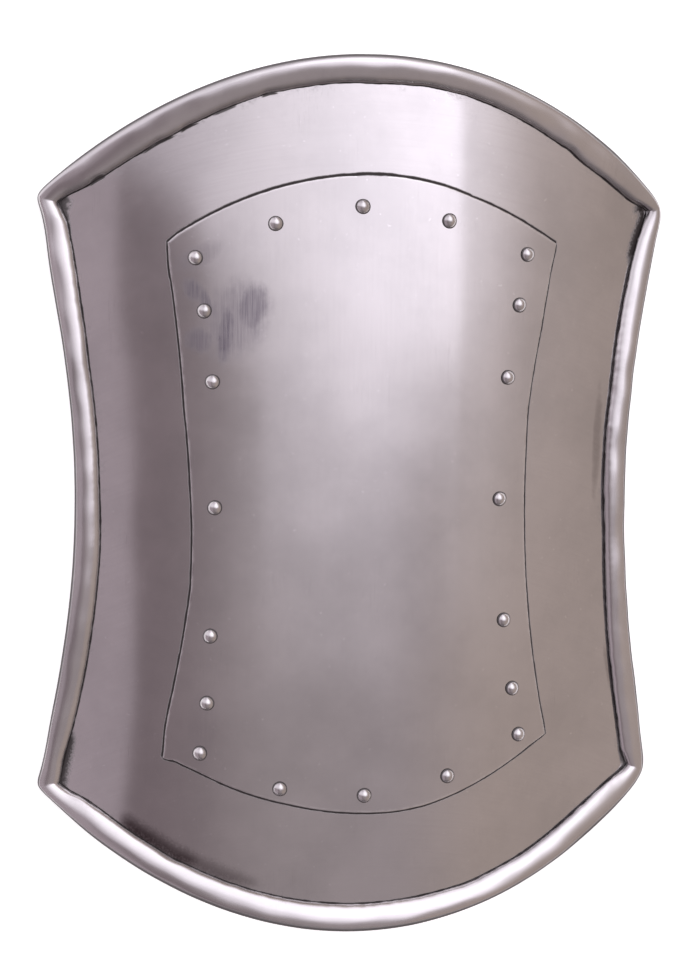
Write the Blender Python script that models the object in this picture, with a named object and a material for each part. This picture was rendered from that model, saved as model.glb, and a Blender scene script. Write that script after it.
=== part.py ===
"""Rectangular steel buckler lying face up.

A curved sheet body with its edge rolled over to the front, a smaller plate riveted on the face
and a strap grip on the back. The sheet is bent about the long (Y) axis, so each shape is drawn
flat as (s, y), with s measured along the bend, and then wrapped onto the bend radius.
"""
import math

import bmesh
import bpy
import numpy as np
from mathutils import Matrix

# Driving dimensions, in metres
BEND_RADIUS = 0.360
SHEET = 0.0015
CONTACT_GAP = 0.0003

# Face of the body inside its rolled edge
FACE_HALF_LENGTH = 0.2160
FACE_CORNER_HEIGHT = 0.1503
FACE_CORNER_WIDTH = 0.1595
FACE_WAIST_WIDTH = 0.1376

# Rolled edge, measured outward from the cut edge that lands on the face
ROLL_WIDTH = 0.0152
ROLL_HEIGHT = 0.0060
ROLL_FOLD_RUN = 0.0042
ROLL_CORNER_EASE = 0.0008

# Front plate, fitted by hand a little off centre and a little turned
PLATE_THICKNESS = 0.0015
PLATE_HALF_LENGTH = 0.1680
PLATE_CORNER_HEIGHT = 0.1335
PLATE_CORNER_WIDTH = 0.1055
PLATE_WAIST_WIDTH = 0.0902
PLATE_SHIFT = (-0.0008, 0.0011)
PLATE_TURN = math.radians(0.5)
PLATE_FILED_EDGE = 0.0005

# Rivets: dome in front, shank through the holes, peened tail behind
RIVET_HEAD_DIAMETER = 0.0080
RIVET_HEAD_HEIGHT = 0.0026
RIVET_SHANK_DIAMETER = 0.0040
RIVET_TAIL_DIAMETER = 0.0068
RIVET_TAIL_HEIGHT = 0.0012
RIVET_TAIL_CROWN_DIAMETER = 0.0054
RIVET_HOLE_CLEARANCE = 0.0003
RIVET_END_INSET = 0.0127
RIVET_END_PITCH = 0.0474
RIVET_SIDE_INSET = 0.0149
RIVET_SIDE_HEIGHTS = (0.1004, 0.0644, 0.0)
RIVET_PATTERN_SHIFT = (0.0003, -0.0033)
RIVET_PATTERN_TURN = math.radians(0.3)

# How far each hole was drilled off its place in the pattern, as (s, y)
RIVET_HAND_SHIFTS = {
    "rivet_top_1": (0.0016, 0.0007), "rivet_top_2": (-0.0016, -0.0016),
    "rivet_top_3": (-0.0005, 0.0005), "rivet_top_4": (0.0018, -0.0007),
    "rivet_top_5": (0.0018, 0.0010), "rivet_bottom_1": (0.0013, -0.0015),
    "rivet_bottom_2": (-0.0013, -0.0012), "rivet_bottom_3": (-0.0004, 0.0003),
    "rivet_bottom_4": (0.0016, 0.0016), "rivet_bottom_5": (-0.0016, 0.0013),
    "rivet_left_1": (0.0017, -0.0004), "rivet_left_2": (0.0004, -0.0002),
    "rivet_left_3": (-0.0027, 0.0000), "rivet_left_4": (-0.0020, -0.0019),
    "rivet_left_5": (0.0011, -0.0008), "rivet_right_1": (0.0014, 0.0007),
    "rivet_right_2": (0.0002, -0.0005), "rivet_right_3": (-0.0007, 0.0010),
    "rivet_right_4": (-0.0015, 0.0015), "rivet_right_5": (-0.0014, 0.0007),
}

# Grip: a strap bent clear of the back, riveted by the middle rivet of each side
GRIP_THICKNESS = 0.0025
GRIP_WIDTH = 0.025
GRIP_FOOT_LENGTH = 0.026
GRIP_HAND_DEPTH = 0.032
GRIP_LEG_RUN = 0.014
GRIP_BEND_RADIUS = 0.006

# Facets
BODY_COLUMNS = 21
BODY_ROWS = 14
PLATE_COLUMNS = 15
PLATE_ROWS = 8
ROUND_SIDES = 10
RIVET_DOME_RINGS = 3
GRIP_BEND_STEPS = 3
ROLL_FOLD_ANGLES = (-90, -45, 0, 45, 90)
ROLL_LIP_ANGLES = (22, 44, 65, 84)
SHARP_ANGLE = math.radians(35)

# Share of the half width, from the middle, whose columns stay straight and give flat facets
STRAIGHT_SHARE = 0.5

# An outward step longer than this belongs to a mitred corner
MITRE_STEP = 1.001

# Passes that settle the grid, where each width depends on the height and each height on the width
GRID_PASSES = 20


class Outline:
    """Flat outline with arched ends and waisted sides that meet at four corners."""

    def __init__(self, half_length, corner_height, corner_width, waist_width):
        self.half_length = half_length
        self.corner_height = corner_height
        self.corner_width = corner_width
        self.waist_width = waist_width

    def end_height(self, s):
        """Height of the end arch over the cross line, a parabola through both corners."""
        drop = self.half_length - self.corner_height
        return self.half_length - drop * (s / self.corner_width) ** 2

    def side_width(self, y):
        """Half width at height y, a parabola through the waist and both corners."""
        flare = self.corner_width - self.waist_width
        return self.waist_width + flare * (y / self.corner_height) ** 2

    def end_normal(self, s, side):
        """Unit outward normal of the end arch; side is +1 at the top and -1 at the bottom."""
        slope = -2 * (self.half_length - self.corner_height) * s / self.corner_width ** 2
        normal = np.array([-slope, side])
        return normal / np.linalg.norm(normal)

    def side_normal(self, y, side):
        """Unit outward normal of a side; side is +1 at the right and -1 at the left."""
        slope = 2 * (self.corner_width - self.waist_width) * y / self.corner_height ** 2
        normal = np.array([side, -slope])
        return normal / np.linalg.norm(normal)

    def grid(self, columns, rows):
        """Points (rows + 1, columns + 1, 2) over the outline; the middle columns are straight."""
        u = np.linspace(-1, 1, columns + 1)[None, :]
        v = np.linspace(-1, 1, rows + 1)[:, None]
        flare = np.sign(u) * np.clip((abs(u) - STRAIGHT_SHARE) / (1 - STRAIGHT_SHARE), 0, 1)
        s = u * self.waist_width + 0 * v
        for _ in range(GRID_PASSES):
            y = v * self.end_height(s)
            s = u * self.waist_width + flare * (self.side_width(y) - self.waist_width)
        return np.stack([s, y], axis=-1)

    def outward(self, columns, rows, grid):
        """Outward step at each point of the rim loop, mitred at the four corners."""
        steps = []
        for row, column in rim_loop(columns, rows):
            s, y = grid[row, column]
            normals = []
            if row in (0, rows):
                normals.append(self.end_normal(s, 1 if row else -1))
            if column in (0, columns):
                normals.append(self.side_normal(y, 1 if column else -1))
            total = sum(normals)
            share = 1.0 if len(normals) == 1 else 1 + normals[0] @ normals[1]
            steps.append(total / share)
        return np.array(steps)


BODY_OUTLINE = Outline(FACE_HALF_LENGTH, FACE_CORNER_HEIGHT, FACE_CORNER_WIDTH, FACE_WAIST_WIDTH)
PLATE_OUTLINE = Outline(PLATE_HALF_LENGTH, PLATE_CORNER_HEIGHT, PLATE_CORNER_WIDTH, PLATE_WAIST_WIDTH)


def rim_loop(columns, rows):
    """Grid indices (row, column) once round the rim, counter-clockwise seen from the front."""
    loop = [(0, column) for column in range(columns)]
    loop += [(row, columns) for row in range(rows)]
    loop += [(rows, column) for column in range(columns, 0, -1)]
    loop += [(row, 0) for row in range(rows, 0, -1)]
    return loop


def wrap(flat, height):
    """Wrap flat points (..., 2) onto the bend, at a height over the body's front face."""
    angle = flat[..., 0] / BEND_RADIUS
    reach = BEND_RADIUS + height
    return np.stack([reach * np.sin(angle), flat[..., 1], reach * np.cos(angle) - BEND_RADIUS], axis=-1)


def turn_and_shift(points, turn, shift):
    """Turn flat points about the middle and then shift them."""
    s = points[..., 0] * math.cos(turn) - points[..., 1] * math.sin(turn) + shift[0]
    y = points[..., 0] * math.sin(turn) + points[..., 1] * math.cos(turn) + shift[1]
    return np.stack([s, y], axis=-1)


def plate_place(points):
    """Bring flat points of the front plate to their place on the body."""
    return turn_and_shift(points, PLATE_TURN, PLATE_SHIFT)


def rivet_places():
    """Flat places of the rivets by name: lines parallel to the plate's edges, drilled by hand."""
    places = {}
    for end, side in (("top", 1), ("bottom", -1)):
        for index in range(5):
            s = (index - 2) * RIVET_END_PITCH
            edge = np.array([s, side * PLATE_OUTLINE.end_height(s)])
            places[f"rivet_{end}_{index + 1}"] = edge - RIVET_END_INSET * PLATE_OUTLINE.end_normal(s, side)
    heights = list(RIVET_SIDE_HEIGHTS) + [-height for height in RIVET_SIDE_HEIGHTS[-2::-1]]
    for name, side in (("left", -1), ("right", 1)):
        for index, y in enumerate(heights):
            edge = np.array([side * PLATE_OUTLINE.side_width(y), y])
            places[f"rivet_{name}_{index + 1}"] = edge - RIVET_SIDE_INSET * PLATE_OUTLINE.side_normal(y, side)
    drilled = {name: turn_and_shift(flat, RIVET_PATTERN_TURN, RIVET_PATTERN_SHIFT)
               for name, flat in places.items()}
    return {name: plate_place(flat) + np.array(RIVET_HAND_SHIFTS[name]) for name, flat in drilled.items()}


def roll_section():
    """Section of the rolled edge as two lists of (outward, height), outer skin and inner skin.

    The middle line of the sheet runs flat below the roll, rises round the outer fold on a tight
    half ellipse and comes down on a long quarter ellipse, so that the cut edge lands on the face.
    """
    half = SHEET / 2
    rise = (ROLL_HEIGHT + SHEET) / 2 - half
    middle = ROLL_WIDTH - ROLL_FOLD_RUN
    land = CONTACT_GAP
    path = [(0.0, -half)]
    for degrees in ROLL_FOLD_ANGLES:
        turn = math.radians(degrees)
        path.append((middle + (ROLL_FOLD_RUN - half) * math.cos(turn), rise - half + rise * math.sin(turn)))
    top = path[-1][1]
    for degrees in ROLL_LIP_ANGLES:
        turn = math.radians(degrees)
        path.append((middle - (middle - half) * math.sin(turn), land + (top - land) * math.cos(turn)))
    outer, inner = [], []
    for index, (out, height) in enumerate(path):
        before = path[max(index - 1, 0)]
        after = path[min(index + 1, len(path) - 1)]
        along = np.array([after[0] - before[0], after[1] - before[1]])
        if index <= 1:
            along = np.array([1.0, 0.0])
        along /= np.linalg.norm(along)
        across = np.array([along[1], -along[0]]) * half
        outer.append((out + across[0], height + across[1]))
        inner.append((out - across[0], max(height - across[1], land if index > 1 else 0.0)))
    return outer, inner


def add_object(name, vertices, faces, material, parent):
    """Mesh object from points and faces, smooth across soft angles."""
    mesh = bpy.data.meshes.new(name)
    mesh.from_pydata([tuple(point) for point in vertices], [], faces)
    mesh.update()
    return place_mesh(name, mesh, material, parent)


def place_mesh(name, mesh, material, parent):
    """Object that carries a mesh and a material under a parent."""
    if not mesh.materials:
        mesh.materials.append(material)
    mesh.shade_smooth()
    mesh.set_sharp_from_angle(angle=SHARP_ANGLE)
    made = bpy.data.objects.new(name, mesh)
    made.parent = parent
    bpy.context.scene.collection.objects.link(made)
    return made


def steel(name, colour, roughness):
    """Bare steel of a given colour and roughness."""
    material = bpy.data.materials.new(name)
    material.use_nodes = True
    shader = material.node_tree.nodes["Principled BSDF"]
    shader.inputs["Base Color"].default_value = (*colour, 1.0)
    shader.inputs["Metallic"].default_value = 1.0
    shader.inputs["Roughness"].default_value = roughness
    return material


def skin_faces(columns, rows, start, flip):
    """Quads of one grid skin whose first vertex is start."""
    faces = []
    for row in range(rows):
        for column in range(columns):
            first = start + row * (columns + 1) + column
            quad = [first, first + 1, first + columns + 2, first + columns + 1]
            faces.append(quad[::-1] if flip else quad)
    return faces


def join_rings(rings):
    """Quads between each ring of vertex indices and the next."""
    faces = []
    for near, far in zip(rings[:-1], rings[1:]):
        for index in range(len(near)):
            after = (index + 1) % len(near)
            faces.append([near[index], near[after], far[after], far[index]])
    return faces


def build_body(material, parent):
    """Curved sheet with its edge rolled to the front, one closed solid with an open roll."""
    grid = BODY_OUTLINE.grid(BODY_COLUMNS, BODY_ROWS)
    loop = rim_loop(BODY_COLUMNS, BODY_ROWS)
    steps = BODY_OUTLINE.outward(BODY_COLUMNS, BODY_ROWS, grid)
    base = np.array([grid[row, column] for row, column in loop])
    corner = np.linalg.norm(steps, axis=1) > MITRE_STEP
    skin = (BODY_COLUMNS + 1) * (BODY_ROWS + 1)
    vertices = list(wrap(grid, 0.0).reshape(-1, 3)) + list(wrap(grid, -SHEET).reshape(-1, 3))
    front_rim = [row * (BODY_COLUMNS + 1) + column for row, column in loop]
    back_rim = [skin + index for index in front_rim]
    faces = skin_faces(BODY_COLUMNS, BODY_ROWS, 0, False)
    faces += skin_faces(BODY_COLUMNS, BODY_ROWS, skin, True)
    outer, inner = roll_section()
    rings = [back_rim]
    for out, height in outer[1:] + inner[:0:-1]:
        ease = np.where(corner, ROLL_CORNER_EASE * out / ROLL_WIDTH, 0.0)
        ring_flat = base + steps * (out - ease)[:, None]
        first = len(vertices)
        vertices += list(wrap(ring_flat, height))
        rings.append(list(range(first, first + len(loop))))
    rings.append(front_rim)
    faces += join_rings(rings)
    return add_object("body", vertices, faces, material, parent)


def build_front_plate(material, parent):
    """Curved reinforcing plate with its front edge filed to a small bevel."""
    grid = PLATE_OUTLINE.grid(PLATE_COLUMNS, PLATE_ROWS)
    loop = rim_loop(PLATE_COLUMNS, PLATE_ROWS)
    steps = PLATE_OUTLINE.outward(PLATE_COLUMNS, PLATE_ROWS, grid)
    skin = (PLATE_COLUMNS + 1) * (PLATE_ROWS + 1)
    under = CONTACT_GAP
    top = under + PLATE_THICKNESS
    front = grid.copy()
    for (row, column), step in zip(loop, steps):
        front[row, column] -= step * PLATE_FILED_EDGE
    vertices = list(wrap(plate_place(front), top).reshape(-1, 3))
    vertices += list(wrap(plate_place(grid), under).reshape(-1, 3))
    front_rim = [row * (PLATE_COLUMNS + 1) + column for row, column in loop]
    back_rim = [skin + index for index in front_rim]
    edge = np.array([grid[row, column] for row, column in loop])
    shoulder = list(range(len(vertices), len(vertices) + len(loop)))
    vertices += list(wrap(plate_place(edge), top - PLATE_FILED_EDGE))
    faces = skin_faces(PLATE_COLUMNS, PLATE_ROWS, 0, False)
    faces += skin_faces(PLATE_COLUMNS, PLATE_ROWS, skin, True)
    faces += join_rings([back_rim, shoulder, front_rim])
    return add_object("front_plate", vertices, faces, material, parent)


def rivet_mesh(name, grip_length):
    """Turned rivet about Z: its head's seat is at z = 0 and its shank runs down to the tail."""
    head = RIVET_HEAD_DIAMETER / 2
    shank = RIVET_SHANK_DIAMETER / 2
    tail = RIVET_TAIL_DIAMETER / 2
    sphere = (head ** 2 + RIVET_HEAD_HEIGHT ** 2) / (2 * RIVET_HEAD_HEIGHT)
    rim_angle = math.asin(head / sphere)
    crown = RIVET_TAIL_CROWN_DIAMETER / 2
    profile = [(crown, -grip_length - RIVET_TAIL_HEIGHT), (tail, -grip_length - RIVET_TAIL_HEIGHT / 2)]
    profile += [(tail, -grip_length), (shank, -grip_length), (shank, 0.0)]
    for ring in range(RIVET_DOME_RINGS, 0, -1):
        angle = rim_angle * ring / RIVET_DOME_RINGS
        height = sphere * math.cos(angle) - (sphere - RIVET_HEAD_HEIGHT)
        profile.append((sphere * math.sin(angle), height))
    mesh = bpy.data.meshes.new(name)
    shape = bmesh.new()
    rings = []
    for radius, height in profile:
        ring = []
        for index in range(ROUND_SIDES):
            turn = 2 * math.pi * index / ROUND_SIDES
            ring.append(shape.verts.new((radius * math.cos(turn), radius * math.sin(turn), height)))
        rings.append(ring)
    for near, far in zip(rings[:-1], rings[1:]):
        for index in range(ROUND_SIDES):
            after = (index + 1) % ROUND_SIDES
            shape.faces.new((near[index], near[after], far[after], far[index]))
    shape.faces.new(rings[0][::-1])
    apex = shape.verts.new((0.0, 0.0, RIVET_HEAD_HEIGHT))
    for index in range(ROUND_SIDES):
        shape.faces.new((rings[-1][index], rings[-1][(index + 1) % ROUND_SIDES], apex))
    shape.to_mesh(mesh)
    shape.free()
    return mesh


def place_on_bend(made, flat, height):
    """Stand an object on the bend at a flat place, its Z axis along the sheet's normal."""
    made.location = wrap(np.array(flat), height)
    made.rotation_euler = (0.0, flat[0] / BEND_RADIUS, 0.0)


def foot_stand_off():
    """A flat foot bears on the hollow back at its two ends, so its middle stands off by this."""
    return CONTACT_GAP + (GRIP_FOOT_LENGTH / 2) ** 2 / (2 * (BEND_RADIUS - SHEET))


def is_grip_rivet(name):
    """The middle rivet of each side also holds a foot of the grip."""
    return name in ("rivet_left_3", "rivet_right_3")


def build_rivets(material, parent):
    """Twenty rivets through the plate and the body; two of them also hold the grip."""
    seat = PLATE_THICKNESS + 2 * CONTACT_GAP
    sheet_stack = seat + SHEET + CONTACT_GAP
    plain = rivet_mesh("rivet_plain", sheet_stack)
    long = rivet_mesh("rivet_long", seat + SHEET + foot_stand_off() + GRIP_THICKNESS + CONTACT_GAP)
    for name, flat in rivet_places().items():
        mesh = long if is_grip_rivet(name) else plain
        place_on_bend(place_mesh(name, mesh, material, parent), flat, seat)


def grip_path():
    """Middle line of the strap as (x, z) points from the left foot to the right foot."""
    places = rivet_places()
    under = -SHEET - foot_stand_off() - GRIP_THICKNESS / 2
    bar = -SHEET - GRIP_HAND_DEPTH - GRIP_THICKNESS / 2
    path = []
    for name, side in (("rivet_left_3", -1), ("rivet_right_3", 1)):
        s = places[name][0]
        outer, inner = s + side * GRIP_FOOT_LENGTH / 2, s - side * GRIP_FOOT_LENGTH / 2
        angle = s / BEND_RADIUS
        seat = wrap(np.array([s, 0.0]), under)
        along = np.array([math.cos(angle), -math.sin(angle)])
        foot = [(seat[0] + along[0] * (edge - s), seat[2] + along[1] * (edge - s)) for edge in (outer, inner)]
        knee = (foot[1][0] - side * GRIP_LEG_RUN, bar)
        path += [foot[0], foot[1], knee] if side < 0 else [knee, foot[1], foot[0]]
    return path


def soften(path, radius, steps):
    """Replace each inner corner of a path by a round of the given radius."""
    rounded = [path[0]]
    for before, corner, after in zip(path[:-2], path[1:-1], path[2:]):
        corner = np.array(corner)
        back = np.array(before) - corner
        ahead = np.array(after) - corner
        back /= np.linalg.norm(back)
        ahead /= np.linalg.norm(ahead)
        half = math.acos(np.clip(back @ ahead, -1, 1)) / 2
        reach = radius / math.tan(half)
        for index in range(steps + 1):
            share = index / steps
            start = corner + back * reach * (1 - share)
            end = corner + ahead * reach * share
            rounded.append(tuple(start * (1 - share) + end * share))
    rounded.append(path[-1])
    return rounded


def build_grip(material, parent):
    """Strap grip: two feet along the back of the sheet and a straight bar for the hand."""
    path = soften(grip_path(), GRIP_BEND_RADIUS, GRIP_BEND_STEPS)
    centre = rivet_places()["rivet_left_3"][1] / 2 + rivet_places()["rivet_right_3"][1] / 2
    vertices = []
    for index, (x, z) in enumerate(path):
        before = np.array(path[max(index - 1, 0)])
        after = np.array(path[min(index + 1, len(path) - 1)])
        along = (after - before) / np.linalg.norm(after - before)
        across = np.array([-along[1], along[0]]) * GRIP_THICKNESS / 2
        for side, lift in ((-1, -1), (1, -1), (1, 1), (-1, 1)):
            y = centre + side * GRIP_WIDTH / 2
            vertices.append((x + lift * across[0], y, z + lift * across[1]))
    rings = [list(range(4 * index, 4 * index + 4)) for index in range(len(path))]
    faces = join_rings(rings) + [rings[0][::-1], rings[-1]]
    return add_object("grip", vertices, faces, material, parent)


def hole_cutter(name, rivets, parent):
    """Guide body that drills a clearance hole for each named rivet."""
    places = rivet_places()
    radius = RIVET_SHANK_DIAMETER / 2 + RIVET_HOLE_CLEARANCE
    reach = PLATE_THICKNESS + SHEET + foot_stand_off() + GRIP_THICKNESS
    shape = bmesh.new()
    for rivet in rivets:
        flat = places[rivet]
        pose = Matrix.Translation(wrap(flat, 0.0)) @ Matrix.Rotation(flat[0] / BEND_RADIUS, 4, "Y")
        bmesh.ops.create_cone(shape, cap_ends=True, segments=ROUND_SIDES, radius1=radius,
                              radius2=radius, depth=2 * reach, matrix=pose)
    mesh = bpy.data.meshes.new(name)
    shape.to_mesh(mesh)
    shape.free()
    cutter = bpy.data.objects.new(name, mesh)
    cutter.parent = parent
    cutter.hide_render = True
    cutter.display_type = "WIRE"
    bpy.context.scene.collection.objects.link(cutter)
    return cutter


def drill_holes(made, cutter):
    """Drill an object with the cutter's holes."""
    cut = made.modifiers.new("rivet_holes", "BOOLEAN")
    cut.operation = "DIFFERENCE"
    cut.solver = "EXACT"
    cut.object = cutter


def main():
    for old in list(bpy.data.objects):
        bpy.data.objects.remove(old)
    shield = bpy.data.objects.new("shield", None)
    bpy.context.scene.collection.objects.link(shield)
    body_steel = steel("body_steel", (0.33, 0.31, 0.32), 0.34)
    plate_steel = steel("plate_steel", (0.36, 0.34, 0.34), 0.30)
    rivet_steel = steel("rivet_steel", (0.30, 0.29, 0.28), 0.36)
    grip_steel = steel("grip_steel", (0.24, 0.23, 0.22), 0.45)
    body = build_body(body_steel, shield)
    plate = build_front_plate(plate_steel, shield)
    grip = build_grip(grip_steel, shield)
    build_rivets(rivet_steel, shield)
    all_holes = hole_cutter("rivet_hole_cutter", list(rivet_places()), shield)
    grip_rivets = [name for name in rivet_places() if is_grip_rivet(name)]
    grip_holes = hole_cutter("grip_hole_cutter", grip_rivets, shield)
    drill_holes(body, all_holes)
    drill_holes(plate, all_holes)
    drill_holes(grip, grip_holes)
    lowest = min(vertex.co.z for vertex in body.data.vertices)
    shield.location.z = -lowest


main()
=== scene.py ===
"""Rectangular steel buckler, lying face up and seen from above."""
import math

import bpy
import numpy as np
from mathutils import Matrix, Vector


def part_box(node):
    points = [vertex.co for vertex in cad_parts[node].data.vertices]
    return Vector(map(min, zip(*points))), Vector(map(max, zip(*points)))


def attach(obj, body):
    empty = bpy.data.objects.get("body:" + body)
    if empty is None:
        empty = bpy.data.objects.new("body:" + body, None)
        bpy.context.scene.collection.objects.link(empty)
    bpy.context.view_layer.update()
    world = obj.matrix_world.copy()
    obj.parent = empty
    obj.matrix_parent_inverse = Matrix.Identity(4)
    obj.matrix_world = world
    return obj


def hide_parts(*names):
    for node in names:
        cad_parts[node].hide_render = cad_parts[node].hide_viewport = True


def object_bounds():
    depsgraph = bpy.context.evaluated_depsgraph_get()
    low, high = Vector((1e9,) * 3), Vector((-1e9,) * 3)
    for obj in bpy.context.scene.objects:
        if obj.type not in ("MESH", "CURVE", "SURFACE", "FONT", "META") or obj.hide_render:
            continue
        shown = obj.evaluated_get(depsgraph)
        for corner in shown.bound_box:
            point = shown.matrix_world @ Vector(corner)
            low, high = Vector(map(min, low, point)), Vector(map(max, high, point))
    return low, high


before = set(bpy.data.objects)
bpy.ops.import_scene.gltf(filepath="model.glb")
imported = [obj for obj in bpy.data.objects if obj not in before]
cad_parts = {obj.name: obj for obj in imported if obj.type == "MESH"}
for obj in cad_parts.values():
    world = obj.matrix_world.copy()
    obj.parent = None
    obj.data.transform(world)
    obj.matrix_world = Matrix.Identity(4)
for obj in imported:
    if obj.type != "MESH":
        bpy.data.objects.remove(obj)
solid_low, solid_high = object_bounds()


# The view: one long lens, a little to the left of the shield and below it,
# so that the far side of the bend turns away and the near corners open out.

VIEW_TILT = math.radians(7.107)
VIEW_TURN = math.radians(10.346)
VIEW_ROLL = math.radians(-0.670)
VIEW_SLIDE = Vector((0.00770, -0.00602, 0.0))
VIEW_DISTANCE = 1.300
LENS_MM = 91.14
SENSOR_MM = 36.0

# The bend stands this high: the crown of the face over the ground
CROWN = 0.041594

view_turned = (Matrix.Rotation(-VIEW_TURN, 4, "Y") @ Matrix.Rotation(-VIEW_TILT, 4, "X")
               @ Matrix.Rotation(-VIEW_ROLL, 4, "Z"))
view_data = bpy.data.cameras.new("view")
view_data.lens = LENS_MM
view_data.sensor_width = SENSOR_MM
view_data.clip_end = 100.0
view = bpy.data.objects.new("view", view_data)
eye = view_turned @ (Vector((0.0, 0.0, VIEW_DISTANCE)) - VIEW_SLIDE) + Vector((0.0, 0.0, CROWN))
view.matrix_world = Matrix.Translation(eye) @ view_turned
bpy.context.scene.collection.objects.link(view)
bpy.context.scene.camera = view
bpy.context.scene.view_settings.view_transform = "Standard"


# The ground: a plain pale board, far wider than the shield, of milky plastic lit from below.

GROUND_HALF = 30.0
GROUND_COLOUR = (0.90, 0.90, 0.90, 1.0)
GROUND_ROUGHNESS = 0.9
GLOW_COLOUR = (1.0, 1.0, 1.0, 1.0)
GLOW_STRENGTH = 0.60

ground_data = bpy.data.meshes.new("ground")
corners = [(-GROUND_HALF, -GROUND_HALF, 0.0), (GROUND_HALF, -GROUND_HALF, 0.0),
           (GROUND_HALF, GROUND_HALF, 0.0), (-GROUND_HALF, GROUND_HALF, 0.0)]
ground_data.from_pydata(corners, [], [(0, 1, 2, 3)])
ground = bpy.data.objects.new("ground", ground_data)
bpy.context.scene.collection.objects.link(ground)
ground_paint = bpy.data.materials.new("ground_paint")
ground_paint.use_nodes = True
ground_shader = ground_paint.node_tree.nodes["Principled BSDF"]
for socket, value in (("Base Color", GROUND_COLOUR), ("Roughness", GROUND_ROUGHNESS),
                      ("Emission Color", GLOW_COLOUR), ("Emission Strength", GLOW_STRENGTH)):
    ground_shader.inputs[socket].default_value = value
ground_data.materials.append(ground_paint)


# The light: a white tent over the table. One long soft box hangs above and behind the shield;
# its right edge is crisp and its near edge fades. The rest of the tent is dim.

TENT_LEFT = (0.255, 0.206, 0.222, 1.0)
TENT_MIDDLE = (0.415, 0.364, 0.372, 1.0)
TENT_RIGHT = (0.495, 0.415, 0.378, 1.0)
TENT_FAR_LEFT = (0.480, 0.410, 0.445, 1.0)
TENT_NEAR = (0.200, 0.175, 0.180, 1.0)
BOX_LIGHT = (1.90, 1.82, 1.97, 1.0)
BOX_BACK = (2.05, 2.00, 2.12, 1.0)


class Wire:
    """One output socket of a node tree. Arithmetic on wires adds Math nodes."""

    def __init__(self, tree, socket):
        self.tree = tree
        self.socket = socket

    @classmethod
    def node(cls, tree, kind, settings=None, inputs=None, output=0):
        """Add a node, its settings first and then the values or wires of its sockets."""
        made = tree.nodes.new(kind)
        for name, value in (settings or {}).items():
            setattr(made, name, value)
        for name, value in (inputs or {}).items():
            if isinstance(value, Wire):
                tree.links.new(value.socket, made.inputs[name])
            else:
                made.inputs[name].default_value = value
        return None if output is None else cls(tree, made.outputs[output])

    def math(self, operation, *others):
        """The Math node of that operation on this wire and the others."""
        values = dict(enumerate((self,) + others))
        return Wire.node(self.tree, "ShaderNodeMath", {"operation": operation}, values)

    def before(self, operation, first):
        """The Math node of that operation with a number in front of this wire."""
        return Wire.node(self.tree, "ShaderNodeMath", {"operation": operation}, {0: first, 1: self})

    def __add__(self, other):
        return self.math("ADD", other)

    def __sub__(self, other):
        return self.math("SUBTRACT", other)

    def __mul__(self, other):
        return self.math("MULTIPLY", other)

    def __truediv__(self, other):
        return self.math("DIVIDE", other)

    def __rsub__(self, other):
        return self.before("SUBTRACT", other)

    def __rtruediv__(self, other):
        return self.before("DIVIDE", other)

    def __abs__(self):
        return self.math("ABSOLUTE")

    __radd__ = __add__
    __rmul__ = __mul__

    def ramp(self, start, end):
        """0 below start, 1 above end, and a smooth step between them."""
        span = {"From Min": start, "From Max": end}
        return Wire.node(self.tree, "ShaderNodeMapRange", {"interpolation_type": "SMOOTHSTEP"},
                         {"Value": self, **span})


def blend(share, first, second):
    """Colour that goes from the first to the second as the share goes from 0 to 1."""
    return Wire.node(share.tree, "ShaderNodeMix", {"data_type": "RGBA"},
                     {0: share, 6: first, 7: second}, output=2)


def split(vector):
    """The three numbers of a vector wire."""
    first = Wire.node(vector.tree, "ShaderNodeSeparateXYZ", None, {0: vector})
    return [Wire(vector.tree, socket) for socket in first.socket.node.outputs]


world = bpy.data.worlds.new("tent")
world.use_nodes = True
bpy.context.scene.world = world
tent = world.node_tree
tent.nodes.clear()
east, north, up = split(Wire.node(tent, "ShaderNodeTexCoord", output="Generated"))

# Angles in degrees from straight up: across to the right, and along towards the top arch
across = east.math("ARCTAN2", up) * (180 / math.pi)
along = north.math("ARCSINE") * (180 / math.pi)

# The walls, dim and a little warmer to the right; the far left one bows out but for one band
bow = abs(along + 9.0).ramp(2.0, 7.0)
walls = blend(across.ramp(-32.0, -4.0), TENT_LEFT, TENT_MIDDLE)
walls = blend(across.ramp(15.0, 38.0), walls, TENT_RIGHT)
walls = blend(1 - (across + bow * 3.6).ramp(-34.0, -31.6), walls, TENT_FAR_LEFT)
walls = blend(1 - along.ramp(-80.0, -42.0), walls, TENT_NEAR)

# The box: a soft left edge with one crisp fold of cloth, a crisp right edge that falls off in
# steps, a notch at the lower right, and a near edge that fades and ends in shallow scallops
left_start = (1 - along.ramp(-4.5, 1.0)) * 23.0 - (1 - along.ramp(-6.5, -4.5)) * 9.0 - 40.0
left_end = along.ramp(-8.0, -3.5) * 9.0 + along.ramp(-2.5, 0.5) * 24.0 + 5.0
cloth_fold = (along * -12.0 - 28.0).math("MINIMUM", -20.3)
cloth_fold = cloth_fold.math("MAXIMUM", along.math("MAXIMUM", -4.2) * -5.5 - 31.5)
left_edge = across.ramp(left_start, left_end) * 0.76 + (across - cloth_fold).ramp(-1.7, 1.7) * 0.24
edge_fall = (1 - across.ramp(27.8, 29.2) * 0.44 - across.ramp(27.0, 47.0) * 0.46
             - across.ramp(40.0, 64.0) * 0.10)
notch = (1 - abs(across - 24.0).ramp(0.0, 12.0)) * (1 - along.ramp(-7.0, -3.0)) * 0.6
scallop = abs(((across + 8.0) * math.radians(15.0)).math("SINE")) * 0.6
near_edge = (along.ramp(-14.5, 3.0) * 0.66 + along.ramp(-5.0, 1.5) * 0.24
             + (along + scallop).ramp(-4.8, -4.4) * 0.08)
box = left_edge * edge_fall * (1 - notch)
lit = blend(box * near_edge, walls, BOX_LIGHT)
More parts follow.
